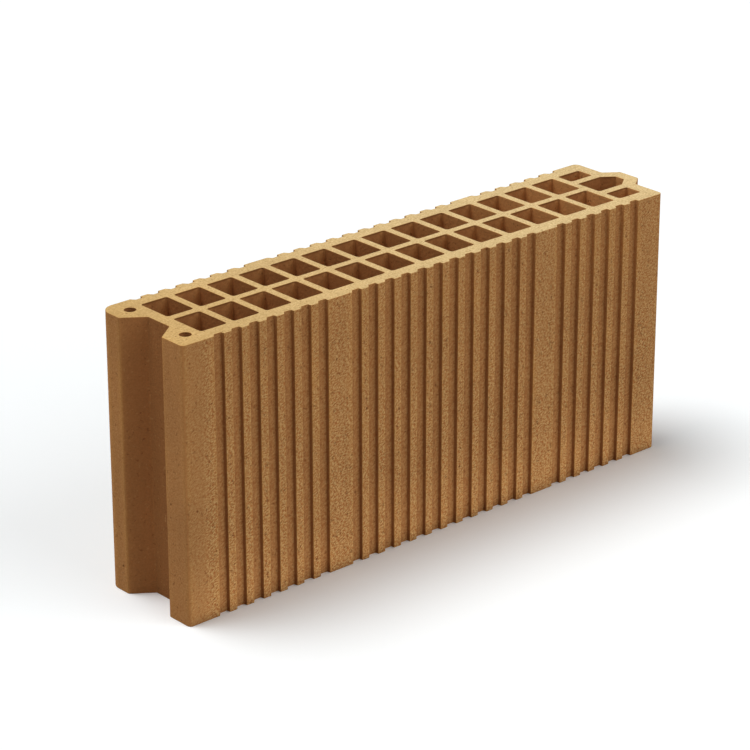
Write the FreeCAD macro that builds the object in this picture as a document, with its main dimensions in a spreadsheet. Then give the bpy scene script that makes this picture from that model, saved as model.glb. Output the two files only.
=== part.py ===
import FreeCAD, Part
import math
import os
import Sketcher

# Driving dimensions in millimetres, and counts. Length runs along X, width along Y, height along Z.
DIMENSIONS = {
    "body_length": 500.0,
    "body_width": 100.0,
    "block_height": 227.0,
    "front_corner_radius": 3.5,
    "back_key_corner_radius": 12.0,
    "back_tongue_corner_radius": 5.0,
    "key_mouth_width": 51.0,
    "key_floor_width": 25.5,
    "key_depth": 17.4,
    "key_edge_radius": 2.5,
    "tongue_side_clearance": 5.9,
    "tongue_end_clearance": 4.8,
    "outer_wall": 14.2,
    "centre_web": 6.8,
    "cell_web": 6.8,
    "cell_count": 14,
    "cell_corner_radius": 2.0,
    "key_wall": 11.1,
    "end_wall": 11.3,
    "end_cell_length": 24.0,
    "end_cell_web": 7.6,
    "tongue_cell_width": 24.8,
    "pin_hole_diameter": 9.0,
    "pin_hole_end_distance": 16.3,
    "pin_hole_spacing": 65.8,
    "face_margin": 29.1,
    "tongue_end_face_margin": 28.0,
    "face_groove_opening": 9.65,
    "face_groove_depth": 3.4,
    "face_groove_slant": 2.9,
    "face_groove_draft": 0.4,
    "first_group_count": 7,
    "middle_group_count": 12,
    "last_group_count": 6,
    "plain_strip_slots": 1,
}
SHEET_NAME = "dims"


class Size:
    """A value together with the sheet expression that gives it."""

    def __init__(self, value, text):
        self.value = value
        self.text = text

    def joined(self, sign, other, value):
        text = other.text if isinstance(other, Size) else repr(other)
        return Size(value, f"({self.text} {sign} {text})")

    def __add__(self, other):
        return self.joined("+", other, self.value + plain(other))

    def __sub__(self, other):
        return self.joined("-", other, self.value - plain(other))

    def __mul__(self, other):
        return self.joined("*", other, self.value * plain(other))

    def __truediv__(self, other):
        return self.joined("/", other, self.value / plain(other))

    def __neg__(self):
        return Size(-self.value, f"(0 - {self.text})")

    def square_root(self):
        return Size(math.sqrt(self.value), f"sqrt({self.text})")


def plain(amount):
    """The number behind a size, or the number itself."""
    return amount.value if isinstance(amount, Size) else amount


def fill_sheet(doc):
    """Writes the driving dimensions into the sheet, one aliased cell each, and returns them as sizes."""
    sheet = doc.addObject("Spreadsheet::Sheet", SHEET_NAME)
    sizes = {}
    for row, (alias, amount) in enumerate(DIMENSIONS.items(), start=1):
        sheet.set(f"A{row}", alias)
        sheet.set(f"B{row}", str(amount))
        sheet.setAlias(f"B{row}", alias)
        sizes[alias] = Size(amount, f"{SHEET_NAME}.{alias}")
    doc.recompute()
    return sizes


def plan_sketch(body, name):
    """An empty sketch in the plan of the bed face."""
    sketch = body.newObject("Sketcher::SketchObject", name)
    plane = next(item for item in body.Origin.OriginFeatures if item.Role == "XY_Plane")
    sketch.AttachmentSupport = [(plane, "")]
    sketch.MapMode = "FlatFace"
    return sketch


def bind(sketch, constraint, size):
    """Adds a dimension to a sketch and ties it to the sheet."""
    index = sketch.addConstraint(constraint)
    sketch.setExpression(f"Constraints[{index}]", size.text)


def pin_point(sketch, geometry, position, x, y):
    """Holds a point of a sketch at its two distances from the origin."""
    bind(sketch, Sketcher.Constraint("DistanceX", -1, 1, geometry, position, x.value), x)
    bind(sketch, Sketcher.Constraint("DistanceY", -1, 1, geometry, position, y.value), y)


def rounded_arc(before, corner, after, radius):
    """The arc of a radius that rounds a corner, and its ends on the lines before and after the corner."""
    to_before = (before - corner).normalize()
    to_after = (after - corner).normalize()
    half_angle = to_before.getAngle(to_after) / 2
    setback = radius / math.tan(half_angle)
    middle_line = (to_before + to_after).normalize()
    centre = corner + middle_line * (radius / math.sin(half_angle))
    start = corner + to_before * setback
    end = corner + to_after * setback
    middle = centre - middle_line * radius
    return start, end, Part.Arc(start, middle, end)


def rounded_loop(sketch, corners, radii):
    """Draws a closed outline through pinned corners, given counterclockwise, each with its own radius."""
    points = [FreeCAD.Vector(x.value, y.value, 0) for x, y in corners]
    count = len(points)
    rounds = [
        rounded_arc(points[i - 1], points[i], points[(i + 1) % count], radii[i].value) for i in range(count)
    ]
    marks = []
    arcs = []
    for (x, y), point, (_, _, arc) in zip(corners, points, rounds):
        mark = sketch.addGeometry(Part.Point(point), True)
        pin_point(sketch, mark, 1, x, y)
        marks.append(mark)
        arcs.append(sketch.addGeometry(arc, False))
    for i in range(count):
        following = (i + 1) % count
        line = sketch.addGeometry(Part.LineSegment(rounds[i][1], rounds[following][0]), False)
        sketch.addConstraint(Sketcher.Constraint("PointOnObject", marks[i], 1, line))
        sketch.addConstraint(Sketcher.Constraint("PointOnObject", marks[following], 1, line))
        leaving = arc_end_at(sketch, arcs[i], rounds[i][1])
        arriving = arc_end_at(sketch, arcs[following], rounds[following][0])
        sketch.addConstraint(Sketcher.Constraint("Tangent", line, 1, arcs[i], leaving))
        sketch.addConstraint(Sketcher.Constraint("Tangent", line, 2, arcs[following], arriving))
    for arc, radius in zip(arcs, radii):
        bind(sketch, Sketcher.Constraint("Radius", arc, radius.value), radius)


def arc_end_at(sketch, arc, point):
    """Which end of a drawn arc lies at a point: 1 for its start, 2 for its end."""
    distance_to_start = sketch.getPoint(arc, 1).distanceToPoint(point)
    distance_to_end = sketch.getPoint(arc, 2).distanceToPoint(point)
    return 1 if distance_to_start < distance_to_end else 2


def sharp_loop(sketch, corners):
    """Draws a closed outline with sharp corners, each pinned."""
    points = [FreeCAD.Vector(x.value, y.value, 0) for x, y in corners]
    lines = []
    for i, point in enumerate(points):
        lines.append(sketch.addGeometry(Part.LineSegment(point, points[(i + 1) % len(points)]), False))
    for i, line in enumerate(lines):
        following = lines[(i + 1) % len(lines)]
        sketch.addConstraint(Sketcher.Constraint("Coincident", line, 2, following, 1))
        pin_point(sketch, line, 1, *corners[i])


def rectangle(low_x, high_x, low_y, high_y):
    """The four corners of a rectangle, counterclockwise."""
    return [(low_x, low_y), (high_x, low_y), (high_x, high_y), (low_x, high_y)]


def mirrored_in_width(corners):
    """The same corners on the other side of the length axis, still counterclockwise."""
    return [(x, -y) for x, y in reversed(corners)]


def cut_through(body, sketch, name):
    """Cuts a sketch through the whole height, and checks that it took clay away."""
    before = body.Tip.Shape.Volume
    pocket = body.newObject("PartDesign::Pocket", name)
    pocket.Profile = sketch
    pocket.Type = "ThroughAll"
    pocket.Reversed = True
    body.Document.recompute()
    if pocket.Shape.isNull() or pocket.Shape.Volume >= before:
        raise RuntimeError(f"{name} cuts nothing")
    return pocket


def row_along_length(body, pocket, sketch, name, extent, count):
    """Repeats a cut along the length, evenly over an extent."""
    pattern = body.newObject("PartDesign::LinearPattern", name)
    pattern.Originals = [pocket]
    pattern.Direction = (sketch, ["H_Axis"])
    pattern.setExpression("Length", extent.text)
    pattern.setExpression("Occurrences", count.text)
    body.Tip = pattern
    body.Document.recompute()
    return pattern


def tongue_shape(size):
    """The tongue's height, root and tip half widths and flank slope, from the groove that it enters."""
    slope = (size["key_mouth_width"] - size["key_floor_width"]) / 2 / size["key_depth"]
    height = size["key_depth"] - size["tongue_end_clearance"]
    root = size["key_mouth_width"] / 2 - size["tongue_side_clearance"]
    tip = root - slope * height
    return height, root, tip, slope


def add_block(body, size):
    """The outer prism, with the groove at one end and the tongue at the other."""
    end = size["body_length"] / 2
    face = size["body_width"] / 2
    mouth = size["key_mouth_width"] / 2
    floor = size["key_floor_width"] / 2
    floor_x = size["key_depth"] - end
    height, root, tip, _ = tongue_shape(size)
    corners = [
        (-end, -face), (end, -face),
        (end, -root), (end + height, -tip), (end + height, tip), (end, root),
        (end, face), (-end, face),
        (-end, mouth), (floor_x, floor), (floor_x, -floor), (-end, -mouth),
    ]
    front = size["front_corner_radius"]
    edge = size["key_edge_radius"]
    back_corners = [size["back_tongue_corner_radius"], size["back_key_corner_radius"]]
    radii = [front, front, edge, edge, edge, edge, *back_corners, edge, edge, edge, edge]
    sketch = plan_sketch(body, "block_plan")
    rounded_loop(sketch, corners, radii)
    pad = body.newObject("PartDesign::Pad", "block")
    pad.Profile = sketch
    pad.setExpression("Length", size["block_height"].text)
    body.Document.recompute()


def add_cells(body, size):
    """The two rows of equal cells, spread between the groove's wall and the end cells."""
    first_x = size["key_depth"] + size["key_wall"] - size["body_length"] / 2
    last_x = size["body_length"] / 2 - size["end_wall"] - size["end_cell_length"] - size["cell_web"]
    pitch = (last_x - first_x + size["cell_web"]) / size["cell_count"]
    cell_end = first_x + pitch - size["cell_web"]
    inner_y = size["centre_web"] / 2
    outer_y = size["body_width"] / 2 - size["outer_wall"]
    back_cell = rectangle(first_x, cell_end, inner_y, outer_y)
    sketch = plan_sketch(body, "cell_pair_plan")
    for corners in (back_cell, mirrored_in_width(back_cell)):
        rounded_loop(sketch, corners, [size["cell_corner_radius"]] * 4)
    pocket = cut_through(body, sketch, "cell_pair")
    extent = pitch * (size["cell_count"] - 1)
    row_along_length(body, pocket, sketch, "cell_rows", extent, size["cell_count"])


def add_end_cells(body, size):
    """The tongue's own cell, one wall thickness inside the tongue, with a small cell on each side of it."""
    end = size["body_length"] / 2
    low_x = end - size["end_wall"] - size["end_cell_length"]
    half = size["tongue_cell_width"] / 2
    height, root, _, slope = tongue_shape(size)
    wall_across = size["end_wall"] * (slope * slope + 1).square_root()
    shoulder_x = end + (root - wall_across - half) / slope
    nose_x = end + height - size["end_wall"]
    nose = root - slope * (height - size["end_wall"]) - wall_across
    tongue_cell = [
        (low_x, -half), (shoulder_x, -half), (nose_x, -nose),
        (nose_x, nose), (shoulder_x, half), (low_x, half),
    ]
    inner_y = half + size["end_cell_web"]
    outer_y = size["body_width"] / 2 - size["outer_wall"]
    back_cell = rectangle(low_x, low_x + size["end_cell_length"], inner_y, outer_y)
    sketch = plan_sketch(body, "end_cells_plan")
    for corners in (tongue_cell, back_cell, mirrored_in_width(back_cell)):
        rounded_loop(sketch, corners, [size["cell_corner_radius"]] * len(corners))
    cut_through(body, sketch, "end_cells")


def add_pin_holes(body, size):
    """The round hole in each lip beside the groove."""
    x = size["pin_hole_end_distance"] - size["body_length"] / 2
    y = size["pin_hole_spacing"] / 2
    diameter = size["pin_hole_diameter"]
    sketch = plan_sketch(body, "pin_holes_plan")
    for place in (y, -y):
        centre = FreeCAD.Vector(x.value, place.value, 0)
        circle = Part.Circle(centre, FreeCAD.Vector(0, 0, 1), diameter.value / 2)
        hole = sketch.addGeometry(circle, False)
        pin_point(sketch, hole, 3, x, place)
        bind(sketch, Sketcher.Constraint("Diameter", hole, diameter.value), diameter)
    cut_through(body, sketch, "pin_holes")


def add_face_grooves(body, size):
    """The plaster grooves of both long faces, on one even pitch, in three groups with plain strips between."""
    groups = [size["first_group_count"], size["middle_group_count"], size["last_group_count"]]
    strip = size["plain_strip_slots"]
    slot_count = groups[0] + strip + groups[1] + strip + groups[2]
    first_x = size["face_margin"] - size["body_length"] / 2
    margins = size["face_margin"] + size["tongue_end_face_margin"]
    pitch = (size["body_length"] - margins - size["face_groove_opening"]) / (slot_count - 1)
    first_slots = [None, groups[0] + strip, groups[0] + strip + groups[1] + strip]
    for name, count, slot in zip(("first", "middle", "last"), groups, first_slots):
        start_x = first_x if slot is None else first_x + pitch * slot
        sketch = plan_sketch(body, f"{name}_groove_plan")
        back_groove = groove_profile(size, start_x)
        for corners in (back_groove, mirrored_in_width(back_groove)):
            sharp_loop(sketch, corners)
        pocket = cut_through(body, sketch, f"{name}_groove")
        row_along_length(body, pocket, sketch, f"{name}_grooves", pitch * (count - 1), count)


def groove_profile(size, start_x):
    """One groove of the back face: a slanted wall, a flat floor and a nearly square wall."""
    face = size["body_width"] / 2
    floor = face - size["face_groove_depth"]
    end_x = start_x + size["face_groove_opening"]
    return [
        (start_x, face),
        (start_x + size["face_groove_slant"], floor),
        (end_x - size["face_groove_draft"], floor),
        (end_x, face),
    ]


def check_document(doc, body):
    """Stops if any object of the document failed or the block isn't one valid solid."""
    for item in doc.Objects:
        if "Invalid" in item.State or "Error" in item.State:
            raise RuntimeError(f"{item.Name} failed: {item.State}")
    if body.Shape.isNull() or not body.Shape.isValid() or len(body.Shape.Solids) != 1:
        raise RuntimeError(f"{body.Label} is not one valid solid")


def main():
    doc = FreeCAD.newDocument("hollow_clay_block")
    size = fill_sheet(doc)
    body = doc.addObject("PartDesign::Body", "clay_block")
    body.Label = "clay_block"
    add_block(body, size)
    add_face_grooves(body, size)
    add_cells(body, size)
    add_end_cells(body, size)
    add_pin_holes(body, size)
    doc.recompute()
    check_document(doc, body)
    os.makedirs("parts", exist_ok=True)
    body.Shape.exportStep(f"parts/{body.Label}.step")


main()
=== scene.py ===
import math

import bpy
import numpy as np
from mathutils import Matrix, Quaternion, Vector, geometry, noise


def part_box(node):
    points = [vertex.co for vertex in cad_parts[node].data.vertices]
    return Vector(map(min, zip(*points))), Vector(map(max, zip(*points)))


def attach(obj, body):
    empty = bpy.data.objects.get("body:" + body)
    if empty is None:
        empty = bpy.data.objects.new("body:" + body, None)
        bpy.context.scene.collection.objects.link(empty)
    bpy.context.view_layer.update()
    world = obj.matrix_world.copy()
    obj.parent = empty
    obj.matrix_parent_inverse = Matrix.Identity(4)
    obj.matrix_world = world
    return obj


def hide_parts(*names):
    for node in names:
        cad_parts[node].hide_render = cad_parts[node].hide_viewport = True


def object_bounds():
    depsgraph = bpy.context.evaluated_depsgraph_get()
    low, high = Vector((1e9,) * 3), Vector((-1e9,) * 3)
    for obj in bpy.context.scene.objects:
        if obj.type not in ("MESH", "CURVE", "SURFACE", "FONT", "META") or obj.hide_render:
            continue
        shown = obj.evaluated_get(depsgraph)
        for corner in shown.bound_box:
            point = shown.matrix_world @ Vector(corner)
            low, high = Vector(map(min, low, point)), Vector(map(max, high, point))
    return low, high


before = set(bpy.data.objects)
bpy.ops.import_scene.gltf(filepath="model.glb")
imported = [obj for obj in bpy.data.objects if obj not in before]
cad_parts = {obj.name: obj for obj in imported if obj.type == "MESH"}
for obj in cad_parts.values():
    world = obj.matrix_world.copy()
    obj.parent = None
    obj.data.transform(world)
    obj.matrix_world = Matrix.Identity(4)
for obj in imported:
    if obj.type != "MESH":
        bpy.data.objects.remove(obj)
cad_low, cad_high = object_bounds()

NODE = "clay_block"
PIECE = "fired_block"
SLOT = "fired_clay"

# The mesh is worked out in millimetres and written in the frame's metres
MM = 0.001
SAME_PLACE = 0.01
PLACE_DIGITS = 2
JOIN_GAP = SAME_PLACE / 100
INSIDE_BORDERS = 1

# What each point of the surface carries for its material, as shares from 0 to 1
SHARES = ("cut", "pit", "wear", "recess", "deep", "sand", "faded")

# Directions: when a face counts as level, when a wall faces one way, and the limit of a mitred corner
LEVEL_NORMAL = 0.5
FACING = (0.8, 0.95)
LEAST_LEAN = 0.5

# Easing of the profile's corners, and the distance between points along it
SHARP_TURN = math.radians(40)
FLAT_TURN = math.radians(2)
ARC_TOLERANCE = 0.03
CORNER_RADIUS = 0.5
CORNER_STEPS = 4
CORNER_ROOM = 0.45
LOOP_STEP = 4.0

# Rubbed upright edges, paler as rubbed wear with a painted highlight
EDGE_TURN = math.radians(15)
EDGE_WEAR_AND_HIGHLIGHT = 0.33

# Tones of the plaster grooves, as painted shade: on their floors, less next to their walls, and on their
# walls by height near the grooved end and the tongue
FLOOR_DEPTH = 2.0
FLOOR_PAINTED_SHADE = 0.38
FLOOR_PALE = 0.45
FLOOR_REACH = 5.0
FLOOR_SAND = 0.9
WALL_DEPTH = 0.3
WALL_SHARE = 0.5
WALL_HEIGHTS = (30.0, 113.0, 200.0)
NEAR_WALL_PAINTED_SHADE = (0.88, 0.70, 0.64)
FAR_WALL_PAINTED_SHADE = (0.84, 0.47, 0.0)
WALL_REACH = 200.0

# Sand on the lands between the grooves, and the shade painted on them, darker towards the top, by height
SAND_HEIGHTS = (30.0, 70.0, 110.0, 160.0, 200.0)
SAND_LEVELS = (0.94, 1.0, 0.92, 0.76, 0.62)
LAND_PAINTED_SHADE = (0.0, 0.0, 0.0, 0.05, 0.10)

# Tones of the end groove (key), of the end faces and lips beside it and of the smooth strip round the
# corner: painted shade, and the smooth parts' darker, redder tone, which is partly painted shade
KEY_DEPTH = 5.0
KEY_FLOOR_PAINTED_SHADE = 0.55
KEY_FLANK_PAINTED_SHADE = 0.20
END_PAINTED_SHADE = 0.10
END_SMOOTH_AND_SHADE = 0.5
FLANK_SMOOTH_AND_SHADE = 0.9
END_STRIP = 21.0
STRIP_PAINTED_SHADE = 0.26
STRIP_SAND = 0.2

# Tones of the cells: painted shade on the walls, painted light on the seams where two walls meet squarely
# and on the walls facing the grooved end near the tongue, and painted shade on the rims and on a skirt below
# them, less towards the tongue
CELL_PAINTED_SHADE = 0.20
PAINTED_LIGHT_ALONG = (0.0, 185.0)
SEAM_PAINTED_LIGHT = 1.0
SEAM_REACH = 3.2
SEAM_TURN = (math.radians(60), math.radians(80))
SEAM_LEAN = (0.5, 0.7)
CELL_RIM_PAINTED_SHADE = 1.0
RIM_SHADE_EASING = ((-200.0, 50.0), (0.4, 1.0))
CELL_SKIRT = 1.4

# Worn rims between the walls and the cut faces: height, least and most inset, unevenness and steps
RIM_HEIGHT = 0.5
SKIN_RIM_INSET = (0.18, 0.36)
CELL_RIM_INSET = (0.25, 0.5)
RIM_WAVE = 5.0
RIM_SWING = 0.8
# Rubbed wear with a painted highlight, strongest halfway round the eased rim
RIM_WEAR_AND_HIGHLIGHT = 1.0
RIM_STEPS = 3
RIM_CUT_POWER = 3

# Spacing of the surface points on the outer skin, in the cells and on the cut faces
SKIN_STEP = 4.6
SKIN_ROWS = 24
CELL_STEP = 14.0
CELL_ROWS = (7.0, 16.0, 34.0, 68.0)
CUT_STEP = 3.4
CUT_CLEARANCE = 0.45
NARROW_STRIP = 2.4
STRIP_SHARE = 0.8
BATCH = 200

# The staggered grid of these points, in steps: row distance, room at its sides, shift and random spread
GRID_ROW = 0.87
GRID_START = 0.6
GRID_END = 0.45
GRID_TOP = 0.6
GRID_SHIFT = 0.5
SPREAD = 0.3

# Pits left by burnt-out grains: number for each square millimetre, radius, depth for each radius
SKIN_PITS = 0.0024
SMOOTH_PITS = 0.15
CELL_PITS = 0.0002
CUT_PITS = 0.0030
PIT_RADIUS = (0.45, 1.25)
PIT_DEPTH = (0.45, 0.8)
PIT_REACH = (0.85, 1.12)
PIT_MARGIN = 0.3
PIT_ROOM = 2.2
PIT_STRETCH = 1.5
PIT_RINGS = ((1.0, 8, 0.0), (0.62, 6, 0.7))
PIT_CLEARANCE = 1.3

# Slow unevenness of the fired surface, long along the extruded direction
WAVE_DEPTH = 0.16
WAVE_LENGTH = (11.0, 11.0, 70.0)
CUT_WAVE_DEPTH = 0.12
CUT_WAVE_LENGTH = 14.0
NORMAL_WEIGHT = 60

SEED = 20

# Noises of the material: scale, detail and, for the grain, roughness
GRAIN_NOISE = (780.0, 1.0, 0.5)
LUMP_NOISE = (400.0, 1.0)
BLOTCH_NOISE = (17.0, 4.0)
STREAK_NOISE = (120.0, 2.0)
SPECK_NOISE = (330.0, 1.5)
PALE_NOISE = (410.0, 1.0)

# Lean, stretch and colour stops of the grain, its swing from smooth to sandy parts, stretch of the streaks
GRAIN_LEAN = math.radians(28)
GRAIN_STRETCH = (1.6, 1.0, 0.9)
GRAIN_STOPS = (0.34, 0.5, 0.66)
GRAIN_MIDDLE = 0.5
GRAIN_SWING = (0.22, 0.66)
CUT_COARSE = 0.5
STREAK_SCALE = (1.0, 1.0, 0.07)

# Ranges of the material, from two levels to none and full or to the two that follow
SPECK_RANGE = (0.655, 0.72)
PALE_RANGE = (0.66, 0.75)
# Painted light on the cut face, paler towards the tongue
CUT_PAINTED_LIGHT_RANGE = (-0.25, 0.12)
BLOTCH_TONE = (0.3, 0.7, 0.95, 1.05)
STREAK_TONE = (0.3, 0.7, 0.96, 1.04)
# Patches of the rubbed wear and its painted highlight
WEAR_AND_HIGHLIGHT_PATCHES = (0.35, 0.65, 0.3, 0.9)
# Painted shade in the pits, darker the deeper they are
PIT_SHADE_SHARE = (0.0, 0.7, 0.0, 0.75)
ROUGHNESS = (0.3, 0.7, 0.92, 0.76)

# Relief from smooth to sandy parts and its height in metres, and how strongly specks and the painted light
# on the cut face show
BUMP_STRENGTH = (0.25, 0.9)
BUMP_DISTANCE = 0.0014
SPECK_SHARE = 0.5
SPECK_DEPTH = 0.4
PALE_SHARE = 0.25
CUT_PAINTED_LIGHT_POWER = 0.6
SPECULAR = 0.06

# Linear colours from dark to pale grains: skin; smooth parts, darker and redder partly as painted shade;
# painted light on cell walls; painted shade in hollows; the cut face near the grooved end and, painted
# lighter, near the tongue
SKIN_COLOURS = ((0.415, 0.150, 0.044), (0.520, 0.258, 0.089), (0.645, 0.380, 0.147))
SMOOTH_AND_SHADE_COLOURS = ((0.415, 0.176, 0.058), (0.472, 0.203, 0.068), (0.529, 0.230, 0.078))
PAINTED_LIGHT_COLOURS = ((0.700, 0.340, 0.117), (0.780, 0.390, 0.135), (0.860, 0.440, 0.153))
PAINTED_SHADE_COLOURS = ((0.180, 0.069, 0.021), (0.210, 0.081, 0.025), (0.240, 0.094, 0.030))
CUT_COLOURS = ((0.520, 0.315, 0.110), (0.600, 0.375, 0.138), (0.680, 0.440, 0.172))
CUT_PAINTED_LIGHT_COLOURS = ((0.600, 0.425, 0.196), (0.705, 0.512, 0.250), (0.810, 0.605, 0.310))

# Linear colours of the dark specks and of the shade painted in the pits, of the pale specks, and of the
# rubbed edges with their painted highlight
DARK_SPECK_AND_PIT_SHADE_COLOUR = (0.220, 0.080, 0.024)
PALE_COLOUR = (0.640, 0.360, 0.140)
WEAR_AND_HIGHLIGHT_COLOUR = (0.660, 0.330, 0.090)

# Sockets of Blender's mix node that carry its two colours and its result
MIX_A, MIX_B, MIX_RESULT = 6, 7, 2

# The photograph's camera: point looked at, bearing from the front, height angle, roll, distance, lens
LOOK_AT = (-0.00353, 0.01908, 0.11467)
BEARING = 41.577
HEIGHT_ANGLE = 22.674
ROLL = -0.090
DISTANCE = 2.4617
LENS = 148.20
SENSOR = 36.0
CLIP = (0.05, 100.0)

# Far lights: bearing from the front towards the tongue and height angle in degrees, level, spread in degrees
FRONT_KEY = (25, 32, 0.345, 50)
BACK_HIGH = (-140, 70, 0.725, 35)

# Other light levels, where 1 shows a colour as it is written, and the sizes of reflector and floor in metres
DOME_LEVEL = 0.16
GLOW_LEVEL = 0.85
GLOW_WIDTH = 0.045
GLOW_DISTANCE = 0.0300
FLOOR_BOUNCE = (0.55, 0.55, 0.55)
FLOOR_SEEN = (1.0, 1.03, 1.04)
FLOOR_RADIUS = 9.0


def share(values, limits):
    """How far values have come from the first limit to the second, from 0 to 1."""
    return np.interp(values, limits, (0, 1))


def plan_loops(node):
    """The closed outlines of the top face in millimetres, the outer one first, with the clay on the left."""
    mesh = node.data
    top = max(v.co.z for v in mesh.vertices) / MM
    following = {}
    for polygon in mesh.polygons:
        if abs(polygon.normal.z) > LEVEL_NORMAL:
            continue
        corners = [mesh.vertices[i].co / MM for i in polygon.vertices]
        for a, b in zip(corners, corners[1:] + corners[:1]):
            if min(a.z, b.z) > top - SAME_PLACE:
                start, end = ((round(p.x, PLACE_DIGITS), round(p.y, PLACE_DIGITS)) for p in (b, a))
                if start != end:
                    following[start] = end
    loops = []
    while following:
        start, point = following.popitem()
        loop = [start]
        while point != start:
            loop.append(point)
            point = following.pop(point)
        loops.append(np.array(loop))
    return sorted(loops, key=lambda loop: -np.ptp(loop[:, 0]))


def turns(loop):
    """Turn at each point of a closed loop, positive to the left."""
    ahead = np.roll(loop, -1, 0) - loop
    angle = np.arctan2(ahead[:, 1], ahead[:, 0])
    turn = angle - np.roll(angle, 1)
    return (turn + np.pi) % (2 * np.pi) - np.pi


def thinned(loop):
    """The loop without the arc points that its shape doesn't need, from its sharpest corner on."""
    loop = np.roll(loop, -int(np.argmax(np.abs(turns(loop)))), 0)
    closed = np.concatenate([loop, loop[:1]])
    kept, start = [0], 0
    for end in range(2, len(closed)):
        chord = closed[end] - closed[start]
        across = np.array([-chord[1], chord[0]]) / np.hypot(*chord)
        if np.abs((closed[start + 1:end] - closed[start]) @ across).max() > ARC_TOLERANCE:
            start = end - 1
            kept.append(start)
    return loop[kept]


def eased(loop):
    """The loop with its sharp corners rounded."""
    loop = thinned(loop)
    points = []
    for i, turn in enumerate(turns(loop)):
        here = loop[i]
        back = loop[i - 1] - here
        ahead = loop[(i + 1) % len(loop)] - here
        if abs(turn) < SHARP_TURN:
            points.append(here)
            continue
        room = CORNER_ROOM * min(np.hypot(*back), np.hypot(*ahead))
        cut = min(room, CORNER_RADIUS * math.tan(abs(turn) / 2))
        back, ahead = back / np.hypot(*back), ahead / np.hypot(*ahead)
        centre = here + (back + ahead) * cut / (1 + back @ ahead)
        x, y = here + back * cut - centre
        for angle in np.linspace(0, turn, CORNER_STEPS):
            sine, cosine = math.sin(angle), math.cos(angle)
            points.append(centre + (x * cosine - y * sine, x * sine + y * cosine))
    return np.array(points)


def hull_depth(points):
    """Distance of each point of a loop from the straight lines that bridge its hollows."""
    order = np.lexsort(points.T[::-1])
    hull = []
    for path in (order, order[::-1]):
        base = len(hull)
        for i in path:
            while len(hull) - base >= 2:
                a, b, c = points[hull[-2]], points[hull[-1]], points[i]
                if (b[0] - a[0]) * (c[1] - a[1]) > (b[1] - a[1]) * (c[0] - a[0]):
                    break
                hull.pop()
            hull.append(i)
        hull.pop()
    corners = points[hull]
    sides = np.roll(corners, -1, 0) - corners
    across = np.stack([-sides[:, 1], sides[:, 0]], 1) / np.hypot(*sides.T)[:, None]
    return ((points[:, None, :] - corners[None]) * across[None]).sum(2).min(1)


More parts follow.
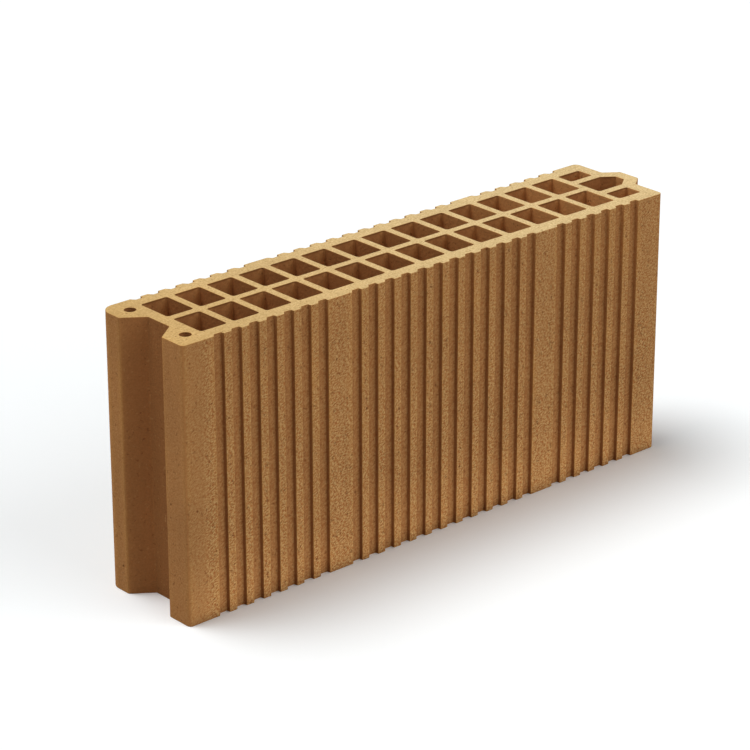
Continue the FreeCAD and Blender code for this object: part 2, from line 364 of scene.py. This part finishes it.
class Outline:
    """A closed loop ready for walls: points, outward directions, distances along it, corners and tones, with
    painted light and shade.
    """

    def __init__(self, loop):
        points = eased(loop)
        bends = np.abs(turns(points)) > FLAT_TURN
        first = int(np.argmax(bends))
        points, bends = np.roll(points, -first, 0), np.roll(bends, -first)
        rows, corners = [], []
        for i, point in enumerate(points):
            step = points[(i + 1) % len(points)] - point
            pieces = max(1, round(np.hypot(*step) / LOOP_STEP))
            rows += [point + step * k / pieces for k in range(pieces)]
            corners += [bool(bends[i])] + [False] * (pieces - 1)
        self.points = np.array(rows)
        self.corners = np.array(corners)
        ahead = np.roll(self.points, -1, 0) - self.points
        lengths = np.hypot(*ahead.T)
        across = np.stack([ahead[:, 1], -ahead[:, 0]], 1) / lengths[:, None]
        outward = across + np.roll(across, 1, 0)
        outward /= np.hypot(*outward.T)[:, None]
        leaning = np.sum(outward * across, 1)
        self.outward = outward / np.maximum(leaning, LEAST_LEAN)[:, None]
        self.along = np.concatenate([[0], np.cumsum(lengths)])
        # Rubbed wear with a painted highlight on the upright edges where the loop turns
        self.wear = EDGE_WEAR_AND_HIGHLIGHT * np.clip(turns(self.points) / EDGE_TURN, 0, 1)
        self.recess, self.sand, self.faded, self.walled = np.zeros((4, len(rows)))
        self.deep, self.pitted = np.ones((2, len(rows)))
        self.rim_painted_shade = self.skirt = 0.0

    def turning(self, reach):
        """How far the loop turns in all within reach of each point."""
        gaps = np.abs(self.along[:-1, None] - self.along[None, :-1])
        near = np.minimum(gaps, self.along[-1] - gaps) < reach
        return (near * np.abs(turns(self.points))).sum(1)

    def face_inside(self):
        """Sets a cell's tones: painted light on the seams and on the wall facing the grooved end near the
        tongue, painted shade on the walls and rims.
        """
        lengthwise = self.points[:, 0]
        facing = share(-self.outward[:, 0], FACING)
        # Painted light on the wall facing the grooved end, more towards the tongue, and painted shade on the
        # walls and rims, less where the painted light lies
        self.faded = facing * share(lengthwise, PAINTED_LIGHT_ALONG)
        self.recess = CELL_PAINTED_SHADE * (1 - self.faded)
        self.rim_painted_shade = CELL_RIM_PAINTED_SHADE * (1 - facing * np.interp(lengthwise, *RIM_SHADE_EASING))
        self.skirt = CELL_SKIRT
        if not self.corners.all():
            # Painted light on the seams where two walls meet squarely, against the shade in the corner
            square = share(self.turning(SEAM_REACH), SEAM_TURN)
            seam = self.corners * np.maximum(square, share(-self.outward[:, 0], SEAM_LEAN))
            self.faded = np.maximum(self.faded, SEAM_PAINTED_LIGHT * seam * (1 - facing))

    def face_outside(self):
        """Sets the outer skin's tones, painted shade among them, by how deep each point lies in a groove and
        which way it faces.
        """
        depth = hull_depth(self.points)
        sunk = np.clip(depth / FLOOR_DEPTH, 0, 1)
        lengthwise, crosswise = (share(np.abs(d), FACING) for d in self.outward.T)
        from_end = self.points[:, 0] - self.points[:, 0].min()
        ending = np.clip((END_STRIP - from_end) / LOOP_STEP, 0, 1)
        strip = ending * crosswise

        end_deep = FLANK_SMOOTH_AND_SHADE + (END_SMOOTH_AND_SHADE - FLANK_SMOOTH_AND_SHADE) * lengthwise
        # The smooth parts' darker, redder tone, partly painted shade, deepening in the end groove and lying
        # on the end faces and lips
        deep = np.clip(depth / KEY_DEPTH, 0, 1) ** 2
        deep = np.maximum(deep, end_deep * ending * (1 - crosswise))
        self.deep = np.maximum(deep, END_SMOOTH_AND_SHADE * lengthwise * (1 - sunk))

        walled = np.clip(depth / WALL_DEPTH, 0, 1) * lengthwise
        self.walled = walled * (1 - deep)
        gaps = self.points[:, None] - self.points[None, walled > WALL_SHARE]
        beside = np.clip(np.hypot(gaps[..., 0], gaps[..., 1]).min(1) / FLOOR_REACH, FLOOR_PALE, 1)
        # Painted shade on the groove floors, less next to their walls, in the end groove, on the end faces
        # and on the strip round the corner
        floor = FLOOR_PAINTED_SHADE * beside + (KEY_FLANK_PAINTED_SHADE - FLOOR_PAINTED_SHADE * beside) * deep
        recess = sunk * floor * (1 - lengthwise) + KEY_FLOOR_PAINTED_SHADE * deep * walled
        recess = np.maximum(recess, END_PAINTED_SHADE * lengthwise)
        self.recess = np.maximum(recess, STRIP_PAINTED_SHADE * strip)

        sand = crosswise * (1 - sunk * (1 - FLOOR_SAND)) * (1 - deep)
        self.sand = sand * (1 - (1 - STRIP_SAND) * strip)
        self.pitted = np.maximum(self.sand, SMOOTH_PITS)

    def read(self, values, along):
        """A value of the loop's points, one number or several each, at distances along the loop."""
        closed = np.concatenate([values, values[:1]]).reshape(len(values) + 1, -1)
        found = np.stack([np.interp(along, self.along, track) for track in closed.T], 1)
        return found if values.ndim > 1 else found[:, 0]

    def shade(self, along, z):
        """How much shade is painted on the wall at distances along the loop and heights."""
        onward = np.clip(self.read(self.points[:, 0], along) / WALL_REACH, 0, 1)
        near, far = (np.interp(z, WALL_HEIGHTS, tones) for tones in (NEAR_WALL_PAINTED_SHADE, FAR_WALL_PAINTED_SHADE))
        # Painted shade on the groove walls by height, less towards the tongue, and on the lands, darker
        # towards the top
        wall = self.read(self.walled, along) * (near + (far - near) * onward)
        land = self.read(self.sand, along) * np.interp(z, SAND_HEIGHTS, LAND_PAINTED_SHADE)
        return self.read(self.recess, along) + wall + land

    def upright(self, along, z):
        """Places and outward directions on the wall at distances along the loop and heights."""
        level = np.zeros((len(along), 1))
        places = np.hstack([self.read(self.points, along), np.reshape(z, (-1, 1))])
        return places, np.hstack([self.read(self.outward, along), level])

    def strips(self):
        """Index ranges between neighbouring corner points, the last one closing the loop."""
        marks = np.flatnonzero(self.corners).tolist() + [len(self.points)]
        return list(zip(marks, marks[1:]))


class Surface:
    """The block's surface, gathered patch by patch and joined where patches share points."""

    def __init__(self):
        self.patches = []

    def add(self, places, outward, faces, **shares):
        """One patch. A share that isn't given is 0 all over it."""
        count = len(places)
        columns = [np.broadcast_to(np.asarray(shares.get(s, 0.0), float), (count,)) for s in SHARES]
        self.patches.append((places, outward, np.stack(columns, 1), np.asarray(faces, int)))

    def joined(self):
        """Places, outward directions, shares and faces of all patches, each shared point kept once."""
        places, outward, shares = (np.concatenate([p[k] for p in self.patches]) for k in range(3))
        starts = np.cumsum([0] + [len(p[0]) for p in self.patches[:-1]])
        faces = np.concatenate([p[3] + start for p, start in zip(self.patches, starts)])
        keys = np.round(places / SAME_PLACE).astype(int)
        _, first, where = np.unique(keys, axis=0, return_index=True, return_inverse=True)
        faces = where.ravel()[faces]
        faces = faces[(faces != np.roll(faces, 1, 1)).all(1)]
        used, faces = np.unique(faces, return_inverse=True)
        first = first[used]
        return places[first], outward[first], shares[first], faces.reshape(-1, 3)


def triangles(points, borders):
    """Triangles over flat points: the faces by the points' own numbers, and the borders round each face."""
    flat = [Vector(p) for p in points]
    made = geometry.delaunay_2d_cdt(flat, [], borders, INSIDE_BORDERS, JOIN_GAP, True)
    _, _, faces, sources, _, held_by = made
    numbers = np.array([ids[0] for ids in sources])
    return numbers[np.array(faces)], held_by


def scattered(low, high, step, rng):
    """Points of a staggered grid in a box, each moved a little at random."""
    rows = np.arange(low[1] + step, high[1] - GRID_TOP * step, step * GRID_ROW)
    points = []
    for k, y in enumerate(rows):
        start = low[0] + step * (GRID_START + GRID_SHIFT * (k % 2))
        x = np.arange(start, high[0] - GRID_END * step, step)
        points.append(np.stack([x, np.full_like(x, y)], 1))
    points = np.concatenate(points) if points else np.zeros((0, 2))
    return points + rng.uniform(-SPREAD, SPREAD, points.shape) * step


def pit_points(centre, radius, depth, stretch, rng):
    """Plan points and depths of one pit, its rim level with the surface."""
    points, depths = [centre], [depth]
    for part, count, level in PIT_RINGS:
        turn = rng.uniform(0, 2 * np.pi)
        angles = turn + np.arange(count) * 2 * np.pi / count
        reach = radius * part * rng.uniform(*PIT_REACH, count)
        points += list(centre + np.stack([np.cos(angles) * reach, np.sin(angles) * reach * stretch], 1))
        depths += [depth * level] * count
    return points, depths


def pitted(centres, fill, stretch, rng):
    """Fill points and the points of pits together with their depths, the fill kept clear of the pits."""
    points, depths = [], []
    keep = np.ones(len(fill), bool)
    taken = np.zeros((0, 3))
    for centre in centres:
        radius = PIT_RADIUS[0] + (PIT_RADIUS[1] - PIT_RADIUS[0]) * rng.random() ** 2
        long = 1 + (stretch - 1) * rng.random()
        clear = radius * long * PIT_CLEARANCE
        if (np.hypot(*(taken[:, :2] - centre).T) < taken[:, 2] + clear).any():
            continue
        taken = np.vstack([taken, [*centre, clear]])
        found, deep = pit_points(centre, radius, radius * rng.uniform(*PIT_DEPTH), long, rng)
        points += found
        depths += deep
        keep &= np.hypot(*(fill - centre).T) > clear + PIT_MARGIN
    together = np.concatenate([fill[keep], np.array(points).reshape(-1, 2)])
    return together, np.concatenate([np.zeros(keep.sum()), depths])


def ladder(along, rows):
    """Points and faces of a plain grid over distances and heights."""
    count = len(along)
    points = np.array([(s, z) for z in rows for s in along])
    faces = []
    for start in range(0, (len(rows) - 1) * count, count):
        for a in range(start, start + count - 1):
            faces += [(a, a + 1, a + 1 + count), (a, a + 1 + count, a + count)]
    return points, faces


def scattered_strip(along, rows, step, density, rng):
    """Points, faces and depths of a wide strip, with scattered points and pits inside its border."""
    low, high = np.array([along[0], rows[0]]), np.array([along[-1], rows[-1]])
    border = [(s, low[1]) for s in along] + [(high[0], z) for z in rows[1:-1]]
    border += [(s, high[1]) for s in along[::-1]] + [(low[0], z) for z in rows[-2:0:-1]]
    width, height = high - low
    fill = scattered(low, high, min(step, STRIP_SHARE * width), rng)
    margin = PIT_MARGIN + PIT_RADIUS[1]
    centres = np.zeros((0, 2))
    if width > PIT_ROOM * margin:
        centres = rng.uniform(low + margin, high - margin, (rng.poisson(density * width * height), 2))
    inner, depths = pitted(centres, fill, PIT_STRETCH, rng)
    points = np.concatenate([border, inner])
    faces, _ = triangles(points, [list(range(len(border)))])
    return points, faces, np.concatenate([np.zeros(len(border)), depths])


def add_wall(surface, outline, rows, step, density, rng):
    """The wall over one outline, a ladder of faces on narrow strips and scattered points on wide ones."""
    for first, last in outline.strips():
        along = outline.along[first:last + 1]
        if along[-1] - along[0] < NARROW_STRIP:
            points, faces = ladder(along, rows)
            depths = np.zeros(len(points))
        else:
            pits = density * outline.pitted[first:last].mean()
            points, faces, depths = scattered_strip(along, rows, step, pits, rng)
        across, z = points.T
        places, outward = outline.upright(across, z)
        at_edge = np.isclose(across, along[0]) | np.isclose(across, along[-1])
        surface.add(
            places, outward, faces, pit=depths,
            wear=outline.read(outline.wear, across) * at_edge,
            recess=outline.shade(across, z),
            deep=outline.read(outline.deep, across),
            sand=outline.read(outline.sand, across) * np.interp(z, SAND_HEIGHTS, SAND_LEVELS),
            faded=outline.read(outline.faded, across),
        )


def rim_insets(outline, low, high):
    """How far the cut rim is worn back at each point, a little uneven along the edge."""
    values = [noise.noise(Vector((x, y, 0)) / RIM_WAVE) for x, y in outline.points]
    return low + (high - low) * np.clip(0.5 + RIM_SWING * np.array(values), 0, 1)


def add_rim(surface, outline, insets, height, side):
    """The eased edge between a wall and a cut face. Side is 1 on the top and -1 on the bed."""
    count = len(outline.points)
    places, outward, cut, wear, recess = [], [], [], [], []
    sides = np.hstack([outline.outward, np.zeros((count, 1))])
    # Painted shade on the rim, darker still on cell rims, and on the skirt of wall below them
    dark = outline.shade(outline.along[:-1], height if side > 0 else 0.0)
    rim_dark = np.maximum(dark, outline.rim_painted_shade)
    steps = [(RIM_HEIGHT + outline.skirt, 0.0, dark)] if outline.skirt else []
    for angle in np.linspace(0, math.pi / 2, RIM_STEPS + 1):
        steps.append((RIM_HEIGHT * (1 - math.sin(angle)), angle, rim_dark))
    for level, angle, depth in steps:
        inset = insets * (1 - math.cos(angle))
        z = height - level if side > 0 else level
        plan = outline.points - outline.outward * inset[:, None]
        places.append(np.hstack([plan, np.full((count, 1), z)]))
        outward.append(sides * math.cos(angle) + np.array([0, 0, side * math.sin(angle)]))
        cut.append(np.full(count, (angle / (math.pi / 2)) ** RIM_CUT_POWER))
        # Rubbed wear with a painted highlight, strongest halfway round the eased rim
        wear.append(np.full(count, RIM_WEAR_AND_HIGHLIGHT * math.sin(2 * angle)))
        recess.append(depth)
    faces = []
    for row in range(len(steps) - 1):
        for k in range(count):
            a, b = row * count + k, row * count + (k + 1) % count
            faces += [(a, b, b + count), (a, b + count, a + count)]
    if side < 0:
        faces = [f[::-1] for f in faces]
    surface.add(
        np.concatenate(places), np.concatenate(outward), faces,
        cut=np.concatenate(cut), wear=np.concatenate(wear), recess=np.concatenate(recess),
        deep=np.tile(outline.deep, len(steps)),
        sand=np.tile(outline.sand * SAND_LEVELS[-1 if side > 0 else 0], len(steps)),
        faded=np.tile(outline.faded, len(steps)),
    )


def near_loops(points, loops, reach):
    """Which points lie within reach of any loop's points."""
    near = np.zeros(len(points), bool)
    for loop in loops:
        low, high = loop.min(0) - reach, loop.max(0) + reach
        inside = np.flatnonzero(((points > low) & (points < high)).all(1))
        for part in np.array_split(inside, max(1, len(inside) // BATCH)):
            gaps = points[part][:, None, :] - loop[None, :, :]
            near[part] |= (np.hypot(gaps[..., 0], gaps[..., 1]) < reach).any(1)
    return near


def add_cut_face(surface, outlines, insets, height, side, rng):
    """The wire-cut face between the outer rim and the rims of the cells."""
    loops = [o.points - o.outward * i[:, None] for o, i in zip(outlines, insets)]
    starts = np.cumsum([0] + [len(loop) for loop in loops])
    borders = [list(range(a, b)) for a, b in zip(starts, starts[1:])]
    low, high = loops[0].min(0), loops[0].max(0)
    fill = scattered(low, high, CUT_STEP, rng)
    fill = fill[~near_loops(fill, loops, CUT_CLEARANCE * CUT_STEP)]
    spots = rng.poisson(CUT_PITS * np.prod(high - low))
    centres = rng.uniform(low, high, (spots, 2))
    centres = centres[~near_loops(centres, loops, LOOP_STEP / 2 + PIT_RADIUS[1])]
    inner, depths = pitted(centres, fill, 1.0, rng)
    points = np.concatenate(loops + [inner])
    faces, held_by = triangles(points, borders)
    faces = faces[[len(held) == len(borders) for held in held_by]]
    if side < 0:
        faces = faces[:, ::-1]
    level = np.full((len(points), 1), height if side > 0 else 0.0)
    outward = np.tile([0.0, 0.0, side], (len(points), 1))
    sunk = np.concatenate([np.zeros(starts[-1]), depths])
    surface.add(np.hstack([points, level]), outward, faces, cut=1.0, pit=sunk)


def unevenness(places, cut):
    """Depth of the slow waves at each place, never above the surface."""
    skin, face = (
        np.clip([0.5 + 0.5 * noise.noise(Vector(place)) for place in places / length], 0, 1)
        for length in (WAVE_LENGTH, CUT_WAVE_LENGTH)
    )
    return (1 - cut) * skin * WAVE_DEPTH + cut * face * CUT_WAVE_DEPTH


def whole_surface(outlines, height):
    """The walls, rims and cut faces over all outlines, the outer one first, joined to one closed surface."""
    rng = np.random.default_rng(SEED)
    surface = Surface()
    skin_rows = np.linspace(RIM_HEIGHT, height - RIM_HEIGHT, SKIN_ROWS)
    half = np.array([RIM_HEIGHT + CELL_SKIRT, *CELL_ROWS])
    cell_rows = np.concatenate([half, [height / 2], height - half[::-1]])
    add_wall(surface, outlines[0], skin_rows, SKIN_STEP, SKIN_PITS, rng)
    for outline in outlines[1:]:
        add_wall(surface, outline, cell_rows, CELL_STEP, CELL_PITS, rng)
    insets = [rim_insets(outlines[0], *SKIN_RIM_INSET)]
    insets += [rim_insets(outline, *CELL_RIM_INSET) for outline in outlines[1:]]
    for side in (1, -1):
        for outline, inset in zip(outlines, insets):
            add_rim(surface, outline, inset, height, side)
        add_cut_face(surface, outlines, insets, height, side, rng)
    return surface.joined()


def build_block(node):
    """The fired block as one closed mesh over the CAD node's outlines."""
    outlines = [Outline(loop) for loop in plan_loops(node)]
    outlines[0].face_outside()
    for outline in outlines[1:]:
        outline.face_inside()
    bed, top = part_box(NODE)
    places, outward, shares, faces = whole_surface(outlines, (top.z - bed.z) / MM)
    cut, pit = shares[:, SHARES.index("cut")], shares[:, SHARES.index("pit")]
    sunk = pit + unevenness(places, cut)
    shares[:, SHARES.index("pit")] = pit / pit.max()
    outward /= np.linalg.norm(outward, axis=1, keepdims=True)
    places = (places - outward * sunk[:, None]) * MM + np.array([0, 0, bed.z])
    mesh = bpy.data.meshes.new(PIECE)
    mesh.from_pydata(places.tolist(), [], faces.tolist())
    for name, values in zip(SHARES, shares.T):
        layer = mesh.attributes.new(name, "FLOAT", "POINT")
        layer.data.foreach_set("value", values.astype(np.float32))
    mesh.polygons.foreach_set("use_smooth", [True] * len(mesh.polygons))
    block = bpy.data.objects.new(PIECE, mesh)
    bpy.context.scene.collection.objects.link(block)
    weighted = block.modifiers.new("face_weight", "WEIGHTED_NORMAL")
    weighted.mode = "FACE_AREA"
    weighted.weight = NORMAL_WEIGHT
    return block


def feed(tree, socket, value):
    """Gives a socket a plain value, or links another node's socket to it."""
    if isinstance(value, bpy.types.NodeSocket):
        tree.links.new(value, socket)
    else:
        socket.default_value = value


def add_node(tree, kind, inputs=None, **settings):
    """A shader node with its settings, each input a plain value or another node's socket."""
    made = tree.nodes.new("ShaderNode" + kind)
    for key, value in settings.items():
        setattr(made, key, value)
    for name, value in (inputs or {}).items():
        feed(tree, made.inputs[name], value)
    return made


def add_noise(tree, place, scale, detail, roughness=0.55):
    """Noise at a place, about 0.5 on average."""
    inputs = {"Vector": place, "Scale": scale, "Detail": detail, "Roughness": roughness}
    return add_node(tree, "TexNoise", inputs).outputs["Fac"]


def add_range(tree, value, low, high, to_low=0.0, to_high=1.0):
    """A value brought from one range to another and kept inside it."""
    inputs = {"Value": value, "From Min": low, "From Max": high, "To Min": to_low, "To Max": to_high}
    return add_node(tree, "MapRange", inputs).outputs["Result"]


def add_ramp(tree, value, colours):
    """The colour for a value, from dark grains to pale ones."""
    ramp = add_node(tree, "ValToRGB", {"Fac": value})
    elements = ramp.color_ramp.elements
    while len(elements) < len(colours):
        elements.new(GRAIN_MIDDLE)
    for element, colour, stop in zip(elements, colours, GRAIN_STOPS):
        element.position = stop
        element.color = (*colour, 1)
    return ramp.outputs["Color"]


def add_mix(tree, part, a, b, blend="MIX"):
    """Two colours mixed, each a plain one or another node's socket. Part is how much of b there is."""
    made = add_node(tree, "Mix", {"Factor": part}, data_type="RGBA", blend_type=blend)
    for index, colour in ((MIX_A, a), (MIX_B, b)):
        plain = not isinstance(colour, bpy.types.NodeSocket)
        feed(tree, made.inputs[index], (*colour, 1) if plain else colour)
    return made.outputs[MIX_RESULT]


def add_maths(tree, kind, a, b):
    """A sum, product or the like of two values."""
    made = add_node(tree, "Math", operation=kind)
    for socket, value in zip(made.inputs, (a, b)):
        feed(tree, socket, value)
    return made.outputs["Value"]


def clay_grain(tree, place, shares):
    """The clay's leaning grain, which swings more on sand and cut faces, and the lumps under it."""
    leaning = add_node(
        tree, "Mapping",
        {"Vector": place, "Rotation": (0.0, -GRAIN_LEAN, 0.0), "Scale": GRAIN_STRETCH},
        vector_type="TEXTURE",
    ).outputs["Vector"]
    on_cut = add_maths(tree, "MULTIPLY", shares["cut"], CUT_COARSE)
    coarse = add_maths(tree, "MAXIMUM", shares["sand"], on_cut)
    swing = add_range(tree, coarse, 0.0, 1.0, *GRAIN_SWING)
    low, high = (add_maths(tree, kind, GRAIN_MIDDLE, swing) for kind in ("SUBTRACT", "ADD"))
    grain = add_range(tree, add_noise(tree, leaning, *GRAIN_NOISE), 0.0, 1.0, low, high)
    return grain, add_noise(tree, leaning, *LUMP_NOISE)


def clay_colour(tree, place, shares, grain, speck):
    """The clay's colour: its walls, with painted shade and light, and cut faces painted lighter towards the
    tongue, then blotches, streaks, specks, rubbed edges with a painted highlight and pits with painted
    shade.
    """
    wall = add_ramp(tree, grain, SKIN_COLOURS)
    # The smooth parts' tone, partly painted shade, painted light on cell walls and painted shade in hollows
    for name, colours in (("deep", SMOOTH_AND_SHADE_COLOURS), ("faded", PAINTED_LIGHT_COLOURS), ("recess", PAINTED_SHADE_COLOURS)):
        wall = add_mix(tree, shares[name], wall, add_ramp(tree, grain, colours))
    lengthwise = add_node(tree, "SeparateXYZ", {"Vector": place}).outputs["X"]
    # The cut face painted lighter towards the tongue, as painted light
    onward = add_maths(tree, "POWER", add_range(tree, lengthwise, *CUT_PAINTED_LIGHT_RANGE), CUT_PAINTED_LIGHT_POWER)
    near, far = (add_ramp(tree, grain, colours) for colours in (CUT_COLOURS, CUT_PAINTED_LIGHT_COLOURS))
    colour = add_mix(tree, shares["cut"], wall, add_mix(tree, onward, near, far))

    drawn = add_node(tree, "Mapping", {"Vector": place, "Scale": STREAK_SCALE}).outputs["Vector"]
    blotch = add_noise(tree, place, *BLOTCH_NOISE)
    streak = add_noise(tree, drawn, *STREAK_NOISE)
    tones = (add_range(tree, blotch, *BLOTCH_TONE), add_range(tree, streak, *STREAK_TONE))
    colour = add_mix(tree, 1.0, colour, add_maths(tree, "MULTIPLY", *tones), "MULTIPLY")

    pale = add_range(tree, add_noise(tree, place, *PALE_NOISE), *PALE_RANGE)
    wear_and_highlight_patch = add_range(tree, blotch, *WEAR_AND_HIGHLIGHT_PATCHES)
    spots = (
        (add_maths(tree, "MULTIPLY", speck, SPECK_SHARE), DARK_SPECK_AND_PIT_SHADE_COLOUR),
        (add_maths(tree, "MULTIPLY", pale, PALE_SHARE), PALE_COLOUR),
        # Rubbed wear with a painted highlight on the edges, in patches
        (add_maths(tree, "MULTIPLY", shares["wear"], wear_and_highlight_patch), WEAR_AND_HIGHLIGHT_COLOUR),
        # Painted shade in the pits, darker the deeper they are
        (add_range(tree, shares["pit"], *PIT_SHADE_SHARE), DARK_SPECK_AND_PIT_SHADE_COLOUR),
    )
    for part, spot in spots:
        colour = add_mix(tree, part, colour, spot)
    return colour


def clay_material():
    """Fired clay: sanded outer faces, smooth grooves darkened by painted shade, pale cut faces, pits, specks
    and rubbed edges, with painted light and shade.
    """
    material = bpy.data.materials.new(SLOT)
    material.use_nodes = True
    tree = material.node_tree
    tree.nodes.clear()
    place = add_node(tree, "TexCoord").outputs["Object"]
    shares = {name: add_node(tree, "Attribute", attribute_name=name).outputs["Fac"] for name in SHARES}
    grain, lumps = clay_grain(tree, place, shares)
    speck = add_range(tree, add_noise(tree, place, *SPECK_NOISE), *SPECK_RANGE)
    raised = add_maths(tree, "ADD", grain, lumps)
    relief = add_maths(tree, "SUBTRACT", raised, add_maths(tree, "MULTIPLY", speck, SPECK_DEPTH))
    bump = add_node(tree, "Bump", {
        "Strength": add_range(tree, shares["sand"], 0.0, 1.0, *BUMP_STRENGTH),
        "Distance": BUMP_DISTANCE,
        "Height": relief,
    })
    shader = add_node(tree, "BsdfPrincipled", {
        "Base Color": clay_colour(tree, place, shares, grain, speck),
        "Roughness": add_range(tree, grain, *ROUGHNESS),
        "Specular IOR Level": SPECULAR,
        "Normal": bump.outputs["Normal"],
    })
    add_node(tree, "OutputMaterial", {"Surface": shader.outputs["BSDF"]})
    return material


def towards(bearing, height_angle):
    """The direction at a bearing from the front towards the tongue and a height angle, both in degrees."""
    bearing, height_angle = math.radians(bearing), math.radians(height_angle)
    level = math.cos(height_angle)
    return Vector((math.sin(bearing) * level, -math.cos(bearing) * level, math.sin(height_angle)))


def add_sun(name, bearing, height_angle, level, spread):
    """A soft far light."""
    light = bpy.data.lights.new(name, "SUN")
    light.energy = level * math.pi
    light.angle = math.radians(spread)
    lamp = bpy.data.objects.new(name, light)
    lamp.rotation_euler = towards(bearing, height_angle).to_track_quat("Z", "Y").to_euler()
    bpy.context.scene.collection.objects.link(lamp)


def add_glow():
    """A white reflector lying on the floor before the front face, out of the camera's sight."""
    low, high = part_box(NODE)
    length = high.x - low.x
    light = bpy.data.lights.new("floor_glow", "AREA")
    light.shape = "RECTANGLE"
    light.size, light.size_y = length, GLOW_WIDTH
    light.energy = GLOW_LEVEL * math.pi * length * GLOW_WIDTH
    glow = bpy.data.objects.new("floor_glow", light)
    glow.location = ((low.x + high.x) / 2, low.y - GLOW_DISTANCE, low.z + MM)
    glow.rotation_euler = (math.pi, 0, 0)
    glow.visible_camera = False
    bpy.context.scene.collection.objects.link(glow)


def seen_directly(tree):
    """1 for rays that show the surroundings as they look: camera, mirror and glass rays."""
    rays = add_node(tree, "LightPath").outputs
    seen = add_maths(tree, "MAXIMUM", rays["Is Camera Ray"], rays["Is Glossy Ray"])
    return add_maths(tree, "MAXIMUM", seen, rays["Is Transmission Ray"])


def add_world():
    """White surroundings that light the object only a little."""
    world = bpy.data.worlds.new("studio")
    world.use_nodes = True
    bpy.context.scene.world = world
    tree = world.node_tree
    tree.nodes.clear()
    strength = add_range(tree, seen_directly(tree), 0.0, 1.0, DOME_LEVEL, 1.0)
    background = add_node(tree, "Background", {"Color": (1, 1, 1, 1), "Strength": strength})
    add_node(tree, "OutputWorld", {"Surface": background.outputs["Background"]})


def add_floor():
    """A plain pale floor, which sends less light back to the object than it shows."""
    corners = [(-1, -1), (1, -1), (1, 1), (-1, 1)]
    places = [(x * FLOOR_RADIUS, y * FLOOR_RADIUS, cad_low.z) for x, y in corners]
    mesh = bpy.data.meshes.new("floor")
    mesh.from_pydata(places, [], [(0, 1, 2, 3)])
    floor = bpy.data.objects.new("floor", mesh)
    bpy.context.scene.collection.objects.link(floor)
    material = bpy.data.materials.new("pale_floor")
    material.use_nodes = True
    tree = material.node_tree
    tree.nodes.clear()
    tone = add_mix(tree, seen_directly(tree), FLOOR_BOUNCE, FLOOR_SEEN)
    matt = add_node(tree, "BsdfDiffuse", {"Color": tone})
    add_node(tree, "OutputMaterial", {"Surface": matt.outputs["BSDF"]})
    mesh.materials.append(material)


def add_lights():
    """A soft key from the front, a high light from behind and the reflector on the floor."""
    add_sun("front_key", *FRONT_KEY)
    add_sun("back_high", *BACK_HIGH)
    add_glow()


def add_camera():
    """The camera at the photograph's viewing angle, on the grooved end's side of the front."""
    camera = bpy.data.cameras.new("photo_view")
    camera.sensor_width = SENSOR
    camera.lens = LENS
    camera.clip_start, camera.clip_end = CLIP
    holder = bpy.data.objects.new("photo_view", camera)
    back = towards(-BEARING, HEIGHT_ANGLE)
    holder.location = Vector(LOOK_AT) + back * DISTANCE
    aim = (-back).to_track_quat("-Z", "Y") @ Quaternion((0, 0, 1), math.radians(ROLL))
    holder.rotation_euler = aim.to_euler()
    bpy.context.scene.collection.objects.link(holder)
    bpy.context.scene.camera = holder


block = build_block(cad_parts[NODE])
block.data.materials.append(clay_material())
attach(block, "root")
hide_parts(NODE)
add_floor()
add_world()
add_lights()
add_camera()
bpy.context.scene.view_settings.view_transform = "Standard"
